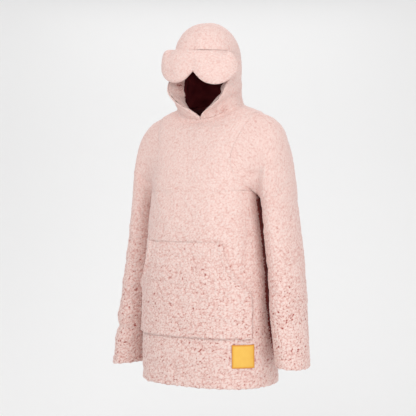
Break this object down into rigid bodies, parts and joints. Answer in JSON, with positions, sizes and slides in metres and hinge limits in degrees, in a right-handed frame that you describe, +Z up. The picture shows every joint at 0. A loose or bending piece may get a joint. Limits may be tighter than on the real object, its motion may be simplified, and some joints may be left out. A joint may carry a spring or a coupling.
{
  "type": "hoodie",
  "caption": "Long fleece hoodie in its worn hollow shape, hood up, with a padded eye-mask flap folded down over the face opening and a front pocket.",
  "frame": {"origin": "middle of the neck at the base of the hood, where the shoulders carry the garment", "axes": "+Z up, the front faces -Y, the wearer's left is +X"},
  "size_m": [0.656, 0.3113, 1.0561],
  "materials": {
    "fleece": "curly sherpa pile",
    "hood_lining": "matte knit",
    "label": "woven satin"
  },
  "bodies": {
    "root": {"front": "fleece", "back": "fleece", "sleeve_left": "fleece", "sleeve_right": "fleece", "hood_left": "fleece", "hood_right": "fleece", "hood_facing_left": "fleece", "hood_facing_right": "fleece", "hood_lining": "hood_lining", "pocket": "fleece", "label": "label", "eye_mask_flap": "fleece"}
  },
  "joints": []
}
